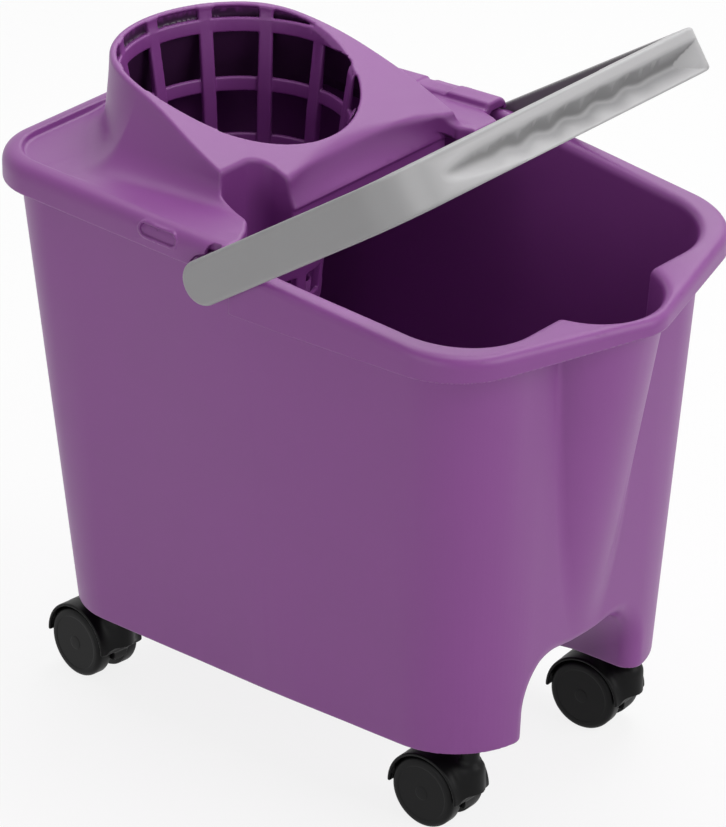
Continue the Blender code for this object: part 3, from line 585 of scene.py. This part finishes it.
def basket_field(x, y, z):
    """Slotted basket: upright ribs that run out flush at the opening, rings and a floor with drain holes."""
    radius = np.hypot(x - COLLAR_X, y)
    share = (z - BASKET_FOOT) / (COLLAR_TOP - BASKET_FOOT)
    outer = radius - BASKET_FOOT_RADIUS - (BASKET_TOP_RADIUS - BASKET_FOOT_RADIUS) * share
    outer += WAIST_DEPTH * eased((WAIST_TOP - z) / WAIST_RUN)
    crest = over_crest(x, z)
    pitch = math.tau / BASKET_RIBS
    turn = np.arctan2(y, x - COLLAR_X) + RIB_PHASE
    rib = np.abs(turn - pitch * np.round(turn / pitch)) * radius - RIB_HALF
    depth = np.clip(BASKET_TOP_RADIUS - OPENING_RADIUS - RIB_FLUSH - crest * RIB_GAIN, 0, RIB_DEPTH)
    rib = both(both(rib, outer, RIB_EDGE), -(outer + depth), RIB_INNER_EDGE)
    rings = np.full_like(z, np.inf)
    for middle, half in RINGS:
        rings = np.minimum(rings, np.abs(z - middle) - half)
    rings = both(rings, np.abs(outer + RING_DEPTH / 2) - RING_DEPTH / 2, RIB_EDGE)
    floor = np.maximum(np.abs(z - BASKET_FOOT - BASKET_FLOOR / 2) - BASKET_FLOOR / 2, outer)
    around = math.tau / DRAIN_COUNT
    spoke = turn - around * np.round(turn / around)
    drain = np.hypot(radius * np.cos(spoke) - DRAIN_CIRCLE, radius * np.sin(spoke)) - DRAIN_RADIUS
    floor = minus(floor, np.minimum(drain, radius - DRAIN_RADIUS), DRAIN_EDGE)
    basket = np.minimum(np.minimum(rib, rings), floor)
    top = crest + RIB_TOP_DROP + RIB_TOP_SLOPE * np.maximum(OPENING_RADIUS - radius, 0)
    return np.maximum(np.maximum(basket, BASKET_FOOT - z), top)


def collar_front(x, y, z):
    """Distance in front of the collar: a bowed ridge, a hollow face, and a flange set back below it."""
    ridge = RIDGE_X + RIDGE_BOW * y * y
    share = np.maximum((z - BEAD_Z) / (RIDGE_Z - BEAD_Z), 0)
    face = BEAD_X + (ridge - BEAD_X) * share - FRONT_HOLLOW * 4 * share * np.clip(1 - share, 0, 1)
    face -= BEAD_STEP * eased((BEAD_Z - z) / BEAD_ROUND)
    return (x - face) * FRONT_LEAN


def cover_field(x, y, z):
    """Cover with a rounded lip, sunk along the rear and the right, with a framed slot in each lip."""
    rim = RIM(x, y)
    right = eased((y - RIGHT_Y) / RIGHT_RUN)
    relief = eased((x - RELIEF_START) / RELIEF_RUN) - eased((x - RELIEF_END) / RELIEF_RUN)
    relief = RELIEF_DEPTH * right * relief
    form = both(rim + 0.5 * relief, z - LIP_TOP + relief, LIP_SOFT)
    front = np.maximum(-BITE(x, y), x + LIP_STEP * eased((y - LIP_STEP_Y) / LIP_STEP_RUN))
    cover = both(both(form, front, LIP_FRONT_EDGE), LIP_LOW - z, LIP_EDGE)
    rear = eased((REAR_X - x) / REAR_RUN)
    floor = LIP_TOP + SUNK_START - np.maximum(rear * SUNK_REAR, right * SUNK_RIGHT)
    sunk = both(rim + SUNK_INSET + SUNK_INSET_RIGHT * right, floor - z, SUNK_ROUND)
    cover = minus(cover, sunk, SUNK_EDGE)
    below = PLATE_LOW - PLATE_DROP * right * eased((-rim - PLATE_DROP_INSET) / PLATE_DROP_RUN)
    cover = np.maximum(cover, -np.maximum(rim + LIP_WALL, z - below))
    slot = np.hypot(np.maximum(np.abs(x - SLOT_X) - SLOT_REACH, 0), z - SLOT_Z) - SLOT_HALF
    slot = np.maximum(slot, SLOT_SIDE - np.abs(y))
    slot_frame = np.maximum(slot - SLOT_FRAME, np.abs(form) - SLOT_FRAME_HALF)
    cover = either(cover, slot_frame, SLOT_FRAME_FILLET)
    return minus(cover, np.maximum(slot, -(form + SLOT_SUNK)), SLOT_EDGE)


def wringer_field(x, y, z):
    """Wringer in one moulding: lipped cover, sloping collar, pole pocket, front flange and basket."""
    share = np.clip((z - COLLAR_BASE) / (COLLAR_TOP - COLLAR_BASE), 0, 1)
    foot = (1 - share) ** COLLAR_FLARE
    plan = COLLAR_FOOT(x, y) * foot + COLLAR_HEAD(x, y) * (1 - foot)
    crest = over_crest(x, z)
    front = collar_front(x, y, z)
    collar = np.maximum(both(both(plan, crest, COLLAR_EDGE), front, RIDGE_EDGE), COLLAR_BASE - z)
    solid = either(cover_field(x, y, z), collar, COLLAR_FILLET)
    flange = np.maximum(front, -front - COLLAR_WALL * FRONT_LEAN)
    flange = np.maximum(flange, np.maximum(FLANGE_LOW - z, z - FLANGE_TOP))
    flange = np.maximum(flange, np.maximum(y - FLANGE_RIGHT, FLANGE_LEFT - y))
    solid = np.minimum(solid, flange)
    pocket = POCKET(x, y)
    pipe = np.maximum(front, np.maximum(POCKET_LOW - z, z - POCKET_TOP))
    pipe = np.maximum(pocket - COLLAR_WALL, pipe)
    solid = np.minimum(solid, pipe)
    inside = np.maximum(np.maximum(plan, crest), np.maximum(front / FRONT_LEAN, -pocket)) + COLLAR_WALL
    solid = minus(solid, inside, COLLAR_INNER_EDGE)
    opening = np.hypot(x - COLLAR_X, y) - OPENING_RADIUS
    solid = minus(solid, np.maximum(opening, LIP_LOW - z), OPENING_EDGE)
    solid = either(solid, basket_field(x, y, z), BASKET_FILLET)
    solid = minus(solid, np.maximum(pocket, POCKET_CUT_LOW - z), POCKET_EDGE)
    clear = np.hypot(x - PIVOT_X, z - PIVOT_Z) - STUD_CLEAR_RADIUS
    clear = np.maximum(clear, STUD_CLEAR_SIDE - np.abs(y))
    notch = np.hypot(x - NOTCH_X, z - NOTCH_Z) - NOTCH_RADIUS
    notch = np.maximum(notch, -RIM(x, y) - NOTCH_DEPTH)
    return np.maximum(solid, -np.minimum(clear, notch))


def facing(turn):
    """How clearly a surface faces a way, from 0 to 1, by the cosine of its angle to it."""
    return eased((turn - FACING_FROM) / FACING_RUN)


def wringer_painted_shade(x, y, z, normals):
    """Painted shade in the gap between the basket and the collar's inside: how much the colour is darkened
    there, from 0 to 1.
    """
    radius = np.hypot(x - COLLAR_X, y)
    share = (z - BASKET_FOOT) / (COLLAR_TOP - BASKET_FOOT)
    outer = radius - BASKET_FOOT_RADIUS - (BASKET_TOP_RADIUS - BASKET_FOOT_RADIUS) * share
    inward = -(normals[:, 0] * (x - COLLAR_X) + normals[:, 1] * y) / radius
    gap = eased((outer + GAP_DEPTH) / GAP_RUN) * eased((-over_crest(x, z) - GAP_TOP) / GAP_TOP_RUN)
    return gap * facing(inward) * eased(-COLLAR_FOOT(x, y) - GAP_INSET)


def bucket_painted_shade(x, y, z, normals):
    """Painted shade on the bucket's inside below the wringer and in the foot-tip arch: how much the colour is
    darkened there, from 0 to 1.
    """
    ahead = x - INSIDE_MIDDLE
    inward = -(normals[:, 0] * ahead + normals[:, 1] * y) / np.hypot(ahead, y)
    inside = eased((INSIDE_X - x) / INSIDE_RUN) * facing(inward) * eased((z - FLOOR_TOP) / INSIDE_RISE)
    across = np.minimum(ARCH_HALF + TUNNEL_MARGIN - np.abs(y), ARCH_TOP + TUNNEL_MARGIN - z)
    tunnel = eased(across / TUNNEL_EDGE) * eased((TUNNEL_X - x) / TUNNEL_RUN)
    tunnel = tunnel * eased((x - ARCH_CHEEK_X + TUNNEL_END) / TUNNEL_END)
    return BUCKET_SHADE * np.maximum(inside, tunnel)


def trough_depth(y, across):
    """Depth of the grip's trough below its face: a valley with finger waves that runs out at the left."""
    run = np.sqrt(np.maximum(y - TROUGH_NEAR, 0))
    waves = np.cos((y - FINGER_Y) * math.tau / FINGER_PITCH)
    waves = waves * eased((y - FINGER_FROM) / FINGER_RUN) * eased((FINGER_TO - y) / FINGER_RUN)
    valley = np.maximum(TROUGH_START - TROUGH_VALLEY_FALL * run, TROUGH_VALLEY) - FINGER_HEIGHT * waves
    top = np.minimum(TROUGH_START + TROUGH_TOP_RISE * run, TROUGH_TOP) + TROUGH_LEAST
    foot = np.maximum(TROUGH_START - TROUGH_FOOT_FALL * run, TROUGH_FOOT) - TROUGH_LEAST
    deepest = np.minimum(TROUGH_DEPTH, TROUGH_GAIN * run + TROUGH_LEAST)
    upper = deepest * (top - across) / (top - valley)
    lower = deepest * (across - foot) / (valley - foot)
    depth = either(upper, lower, TROUGH_ROUND)
    ends = np.minimum((y - TROUGH_NEAR) * TROUGH_NEAR_SLOPE, (TROUGH_FAR - y) * TROUGH_FAR_SLOPE)
    return np.minimum(depth, ends)


def on_arms(x, z):
    """Distances along the handle's arms from the pivot, and across them."""
    c, s = math.cos(HANDLE_REST), math.sin(HANDLE_REST)
    return x * c + z * s, z * c - x * s


def handle_field(x, y, z):
    """Bail handle: a flat band bent to a U, with a hollow trough in its grip."""
    along, across = on_arms(x - PIVOT_X, z - PIVOT_Z)
    side = np.abs(y)
    outer = both(side - ARM_OUTER, along - BAIL_REACH, np.where(y < 0, BEND_NEAR, BEND_FAR))
    inner = both(side - ARM_INNER, along - BAIL_REACH + GRIP_DEPTH, BEND_INSIDE)
    lean = np.where(y > FAR_LEAN_Y, FAR_LEAN * np.clip(1 - along / BAIL_REACH, 0, 1), 0)
    edge = np.where(along < 0, np.hypot(along, across - lean), np.abs(across - lean)) - ARM_HALF - lean
    solid = both(np.maximum(outer, -inner), edge, BAND_EDGE)
    face = (along - BAIL_REACH + trough_depth(y, across)) * TROUGH_LEAN
    solid = both(solid, face, TROUGH_EDGE)
    stud = np.maximum(np.hypot(along, across) - STUD_RADIUS, np.abs(side - STUD_MIDDLE) - STUD_HALF)
    return np.minimum(solid, stud)


def handle_painted_shade(x, y, z, normals):
    """Painted shade, from 0 to 1: on the arms, most inside, and below the trough's upper edge."""
    along, across = on_arms(x - PIVOT_X, z - PIVOT_Z)
    inward = -normals[:, 1] * np.sign(y)
    arms = eased((np.abs(y) - ARM_Y) / ARM_RUN) * eased((inward - ARM_FACING_FROM) / FACING_RUN)
    near = eased((-y - OUTSIDE_Y) / OUTSIDE_RUN)
    far = eased((BAIL_REACH + OUTSIDE_REACH - along) / OUTSIDE_FADE)
    arms = np.maximum(arms, ARM_SHADE * np.where(y < 0, near, far))
    _, upward = on_arms(normals[:, 0], normals[:, 2])
    trough = eased(trough_depth(y, across) / TROUGH_SHADE_DEPTH)
    trough = trough * eased((along - BAIL_REACH + TROUGH_SHADE_BACK) / TROUGH_SHADE_RUN)
    below = eased((-upward + TROUGH_FACING_FROM) / TROUGH_FACING_RUN)
    return np.maximum(arms, TROUGH_SHADE * trough * below)


def hood_field(x, y, z):
    """Caster hood about its swivel: a band over both wheels, a web between them and a boss for the stem."""
    turn = np.hypot(x + TRAIL, z - WHEEL_RADIUS)
    side = np.abs(y)
    axis = np.hypot(x, y)
    band = both(np.abs(turn - HOOD_MIDDLE) - HOOD_HALF_WALL, side - HOOD_HALF, HOOD_EDGE)
    band = both(band, HOOD_LOW - z, HOOD_EDGE)
    shoulder = np.maximum(axis - SHOULDER_RADIUS, SHOULDER_LOW - z)
    shoulder = both(shoulder, z - SHOULDER_TOP, SHOULDER_ROUND)
    neck = np.maximum(axis - NECK_RADIUS, np.maximum(z - HOOD_TOP, NECK_LOW - z))
    boss = either(shoulder, neck, NECK_FILLET)
    web = np.maximum(np.maximum(side - WEB_HALF, turn - HOOD_MIDDLE), WEB_LOW - z)
    web = both(web, WEB_TAIL - x, WEB_EDGE)
    hood = either(either(band, boss, HOOD_FILLET), web, WEB_FILLET)
    room = np.maximum(turn - HOOD_MIDDLE + HOOD_HALF_WALL, WHEEL_SIDE - side)
    hood = minus(hood, room, WHEEL_EDGE)
    hood = np.maximum(hood, -np.maximum(axis - BORE_RADIUS, BORE_LOW - z))
    return np.maximum(hood, -(turn - AXLE_BORE))


# Caster wheel about its axle: hub cap, shallow face, rounded tread and a blind bore from the inner face
WHEEL_PROFILE = [(0, 14.5), (3.4, 14.5), (3.6, 14.48), (3.9, 14.3), (4.2, 14.3), (15.0, 14.3), (15.3, 14.3)]
WHEEL_PROFILE += [(15.6, 14.48), (15.8, 14.5), (17.2, 14.5)]
for bend in np.linspace(0.2, math.pi / 2, 7):
    WHEEL_PROFILE.append((17.2 + 2.8 * math.sin(bend), 11.7 + 2.8 * math.cos(bend)))
WHEEL_PROFILE += [(20.0, 6.5), (19.7, 5.8), (19.0, 5.5), (2.7, 5.5), (2.7, 13.2), (0, 13.2)]

# Caster stem about its swivel: rounded pin with a groove for the grip ring, and a spigot down in the hood
STEM_PROFILE = [(0, 70.5), (4.3, 70.5), (5.0, 70.2), (5.3, 69.5), (5.3, 64.7), (4.3, 64.7), (4.3, 59.8)]
STEM_PROFILE += [(5.3, 59.8), (5.3, 52.2), (5.1, 51.9), (3.0, 51.9), (3.0, 26.6), (2.6, 26.1), (0, 26.1)]


def turned(name, profile, steps):
    """A mesh turned about +Z from a closed profile of (radius, height), listed from the top outwards."""
    rings = []
    vertices = []
    for radius, height in profile:
        count = steps if radius else 1
        rings.append((len(vertices), count))
        for k in range(count):
            turn = math.tau * k / count
            vertices.append((radius * math.cos(turn) * MM, radius * math.sin(turn) * MM, height * MM))
    faces = []
    for (low, low_count), (high, high_count) in zip(rings, rings[1:]):
        for k in range(steps):
            ahead = (k + 1) % steps
            if low_count == 1:
                faces.append((low, high + k, high + ahead))
            elif high_count == 1:
                faces.append((low + k, high, low + ahead))
            else:
                faces.append((low + k, high + k, high + ahead, low + ahead))
    mesh = bpy.data.meshes.new(name)
    mesh.from_pydata(vertices, [], faces)
    mesh.shade_smooth()
    mesh.set_sharp_from_angle(angle=SHARP_ANGLE)
    return mesh


class Value:
    """A shader socket that takes part in Python expressions by adding nodes."""

    def __init__(self, tree, socket):
        self.tree = tree
        self.socket = socket

    def node(self, kind, settings=None, **inputs):
        return add_node(self.tree, kind, settings, **inputs)

    def math(self, operation, a, b):
        return self.node("Math", {"operation": operation}, i0=a, i1=b)

    def __add__(self, other):
        return self.math("ADD", self, other)

    def __radd__(self, other):
        return self.math("ADD", other, self)

    def __sub__(self, other):
        return self.math("SUBTRACT", self, other)

    def __rsub__(self, other):
        return self.math("SUBTRACT", other, self)

    def __mul__(self, other):
        return self.math("MULTIPLY", self, other)

    def __rmul__(self, other):
        return self.math("MULTIPLY", other, self)


def add_node(tree, kind, settings=None, **inputs):
    """Adds a node with its settings and inputs (iN by number, else by name) and returns its first output."""
    node = tree.nodes.new("ShaderNode" + kind)
    for key, value in (settings or {}).items():
        setattr(node, key, value)
    for key, value in inputs.items():
        socket = node.inputs[int(key[1:])] if key[1:].isdigit() else node.inputs[key.replace("_", " ")]
        if isinstance(value, Value):
            tree.links.new(value.socket, socket)
        else:
            socket.default_value = value
    return Value(tree, node.outputs[0]) if node.outputs else None


# Finishes
CLOUD_SCALE = 14.0
CLOUD_SHINE = 0.12
GRAIN_SHINE = 0.06
GRAIN_HEIGHT = 0.0004


def finish_of(name, colour, roughness, specks, grain_size, grain_depth, painted_shade_factor=1.0, **shader_values):
    """Moulded finish: a colour with faint clouding, darkened by the painted-shade mask that the mesh carries,
    varying gloss and a fine grain.
    """
    material = bpy.data.materials.new(name)
    material.use_nodes = True
    tree = material.node_tree
    tree.nodes.clear()
    place = add_node(tree, "TexCoord")
    place = Value(tree, place.socket.node.outputs["Object"])
    clouds = add_node(tree, "TexNoise", None, Vector=place, Scale=CLOUD_SCALE, Detail=3.0, Roughness=0.55)
    grain = add_node(tree, "TexNoise", None, Vector=place, Scale=grain_size, Detail=2.0, Roughness=0.6)
    dark = tuple(c * (1 - specks) for c in colour) + (1,)
    light = tuple(min(1.0, c * (1 + specks)) for c in colour) + (1,)
    tint = add_node(tree, "Mix", {"data_type": "RGBA"}, i0=clouds, i6=dark, i7=light)
    tint = Value(tree, tint.socket.node.outputs[2])
    # Painted shade: the mesh's mask mixes the colour towards a darker copy where shade falls
    painted_shade = add_node(tree, "Attribute", {"attribute_name": "painted_shade"})
    painted_shade = Value(tree, painted_shade.socket.node.outputs["Fac"])
    painted_shade_colour = tuple(c * painted_shade_factor for c in colour) + (1,)
    tint = add_node(tree, "Mix", {"data_type": "RGBA"}, i0=painted_shade, i6=tint, i7=painted_shade_colour)
    tint = Value(tree, tint.socket.node.outputs[2])
    bump = add_node(tree, "Bump", None, Strength=grain_depth, Distance=GRAIN_HEIGHT, Height=grain)
    shine = clouds * CLOUD_SHINE + (roughness - CLOUD_SHINE / 2) + (grain - 0.5) * GRAIN_SHINE
    varying = {"Base_Color": tint, "Roughness": shine, "Normal": bump}
    shader = add_node(tree, "BsdfPrincipled", None, **varying, **shader_values)
    add_node(tree, "OutputMaterial", None, Surface=shader)
    return material


# The last factor of each finish is how dark its painted shade makes the colour
PURPLE = finish_of(
    "purple_polypropylene", (0.250, 0.0575, 0.281),
    roughness=0.40, specks=0.05, grain_size=2200, grain_depth=0.10, painted_shade_factor=0.15,
)
GREY = finish_of(
    "grey_polypropylene", (0.480, 0.474, 0.484),
    roughness=0.42, specks=0.05, grain_size=1800, grain_depth=0.10, painted_shade_factor=0.40,
)
BLACK = finish_of(
    "black_nylon", (0.004, 0.004, 0.0043),
    roughness=0.45, specks=0.2, grain_size=1500, grain_depth=0.08, Specular_IOR_Level=0.15,
)
STEEL = finish_of(
    "zinc_plated_steel", (0.55, 0.55, 0.56),
    roughness=0.30, specks=0.08, grain_size=1200, grain_depth=0.05, Metallic=1.0,
)


def dressed(piece, material, body, node):
    """Gives a piece its finish, its body and the frame node that it stands for."""
    piece.data.materials.clear()
    piece.data.materials.append(material)
    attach(piece, body)
    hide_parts(node)


# The bucket, wringer and handle mouldings carry painted-shade masks that darken their colour where shade
# falls
bucket_space = (-190, -131, 46), (190, 131, 320)
bucket_form = moulded(
    "bucket_shell", bucket_field, *bucket_space, pitch=1.3, keep=0.2, painted_shade=bucket_painted_shade,
)
bucket = placed("bucket_shell", bucket_form)
dressed(bucket, PURPLE, "bucket", "bucket")
wringer_space = (-190, -128, 216), (6, 128, 368)
wringer_form = moulded(
    "wringer_moulding", wringer_field, *wringer_space, pitch=1.1, keep=0.25, painted_shade=wringer_painted_shade,
)
wringer = placed("wringer_moulding", wringer_form)
dressed(wringer, PURPLE, "wringer", "wringer")
handle_space = (-28, -132, 280), (126, 132, 395)
handle_form = moulded(
    "bail_handle", handle_field, *handle_space, pitch=1.1, keep=0.25, painted_shade=handle_painted_shade,
)
handle = placed("bail_handle", handle_form)
dressed(handle, GREY, "handle", "handle")

hood_form = moulded("caster_hood", hood_field, (-46, -17, 11), (12, 17, 53), pitch=0.7, keep=0.4)
wheel_form = turned("caster_tyre", WHEEL_PROFILE, steps=72)
stem_form = turned("caster_pin", STEM_PROFILE, steps=48)
swivels = {"front": SWIVEL_FRONT, "rear": SWIVEL_REAR}
for corner, heading in HEADINGS.items():
    end, hand = corner.split("_")
    caster = corner + "_caster"
    place = Vector((swivels[end], -SWIVEL_Y if hand == "left" else SWIVEL_Y, 0)) * MM
    stand = Matrix.Translation(place) @ Matrix.Rotation(math.radians(heading), 4, "Z")
    hood = bpy.data.objects.new(caster + "_cover", hood_form)
    stem = bpy.data.objects.new(caster + "_pin", stem_form)
    wheel_left = bpy.data.objects.new(caster + "_tyre_left", wheel_form)
    wheel_right = bpy.data.objects.new(caster + "_tyre_right", wheel_form)
    hood.matrix_world = stand
    stem.matrix_world = stand
    axle = stand @ Matrix.Translation(Vector((-TRAIL, 0, WHEEL_RADIUS)) * MM)
    wheel_left.matrix_world = axle @ Matrix.Rotation(math.pi / 2, 4, "X")
    wheel_right.matrix_world = axle @ Matrix.Rotation(-math.pi / 2, 4, "X")
    for piece in (hood, stem, wheel_left, wheel_right):
        bpy.context.scene.collection.objects.link(piece)
    dressed(hood, BLACK, caster, caster + "_hood")
    dressed(stem, STEEL, "bucket", caster + "_stem")
    dressed(wheel_left, BLACK, caster + "_wheel_left", caster + "_wheel_left")
    dressed(wheel_right, BLACK, caster + "_wheel_right", caster + "_wheel_right")
    for part in ("_grip_ring", "_axle"):
        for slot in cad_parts[caster + part].material_slots:
            slot.material = STEEL


# Studio: lamps as name, place, size and power
SKY_FILL = 0.21
FLOOR_WHITE = 0.85
FLOOR_SHADE = (0.95, 0.95, 0.95, 1)
FLOOR_HALF = 4.0
WHITE = (1, 1, 1, 1)
LAMPS = (
    ("top", (-0.25, 0.35, 2.1), 1.6, 20),
    ("front", (1.75, 0.4, 1.35), 1.4, 18),
    ("back", (-0.35, 1.25, 1.5), 1.3, 9),
    ("fill", (0.2, -2.1, 0.3), 1.6, 11),
)
LAMP_TARGET = (0, 0, 0.2)
CAMERA_PLACE = (1.6187, -1.9494, 1.4543)
CAMERA_AZIMUTH = math.radians(39.8925)
CAMERA_ELEVATION = math.radians(26.7222)
SENSOR_WIDTH = 36.0
FOCAL_PIXELS = 5346
PICTURE_PIXELS = 726


def seen_directly(tree):
    """1 for rays that show the surroundings: from the camera, off gloss or through glass."""
    path = add_node(tree, "LightPath").socket.node
    kinds = ("Is Camera Ray", "Is Glossy Ray", "Is Transmission Ray")
    camera, gloss, glass = (Value(tree, path.outputs[kind]) for kind in kinds)
    return camera.math("MINIMUM", camera + gloss + glass, 1.0)


def studio():
    """Pale floor, soft lights and the camera of the photograph."""
    floor_mesh = bpy.data.meshes.new("floor")
    corners = [(-1, -1), (1, -1), (1, 1), (-1, 1)]
    floor_mesh.from_pydata([(x * FLOOR_HALF, y * FLOOR_HALF, 0) for x, y in corners], [], [(0, 1, 2, 3)])
    floor = bpy.data.objects.new("floor", floor_mesh)
    bpy.context.scene.collection.objects.link(floor)
    material = bpy.data.materials.new("pale_floor")
    material.use_nodes = True
    tree = material.node_tree
    tree.nodes.clear()
    matte = add_node(tree, "BsdfDiffuse", None, Color=FLOOR_SHADE)
    white = add_node(tree, "Emission", None, Color=WHITE, Strength=1.0)
    share = seen_directly(tree) * FLOOR_WHITE
    both_shades = add_node(tree, "MixShader", None, i0=share, i1=matte, i2=white)
    add_node(tree, "OutputMaterial", None, Surface=both_shades)
    floor_mesh.materials.append(material)

    world = bpy.data.worlds.new("studio")
    bpy.context.scene.world = world
    world.use_nodes = True
    tree = world.node_tree
    tree.nodes.clear()
    strength = seen_directly(tree) * (1 - SKY_FILL) + SKY_FILL
    sky = add_node(tree, "Background", None, Color=WHITE, Strength=strength)
    add_node(tree, "OutputWorld", None, Surface=sky)

    for name, place, size, power in LAMPS:
        lamp = bpy.data.lights.new(name, "AREA")
        lamp.size = size
        lamp.energy = power
        obj = bpy.data.objects.new(name, lamp)
        obj.location = place
        obj.rotation_euler = (Vector(place) - Vector(LAMP_TARGET)).to_track_quat("Z", "Y").to_euler()
        bpy.context.scene.collection.objects.link(obj)

    camera = bpy.data.cameras.new("photo_camera")
    camera.sensor_fit = "HORIZONTAL"
    camera.sensor_width = SENSOR_WIDTH
    camera.lens = SENSOR_WIDTH * FOCAL_PIXELS / PICTURE_PIXELS
    view = bpy.data.objects.new("photo_camera", camera)
    level = math.cos(CAMERA_ELEVATION)
    back = Vector((
        math.sin(CAMERA_AZIMUTH) * level,
        -math.cos(CAMERA_AZIMUTH) * level,
        math.sin(CAMERA_ELEVATION),
    ))
    view.location = CAMERA_PLACE
    view.rotation_euler = back.to_track_quat("Z", "Y").to_euler()
    bpy.context.scene.collection.objects.link(view)
    bpy.context.scene.camera = view
    bpy.context.scene.view_settings.view_transform = "Standard"


studio()
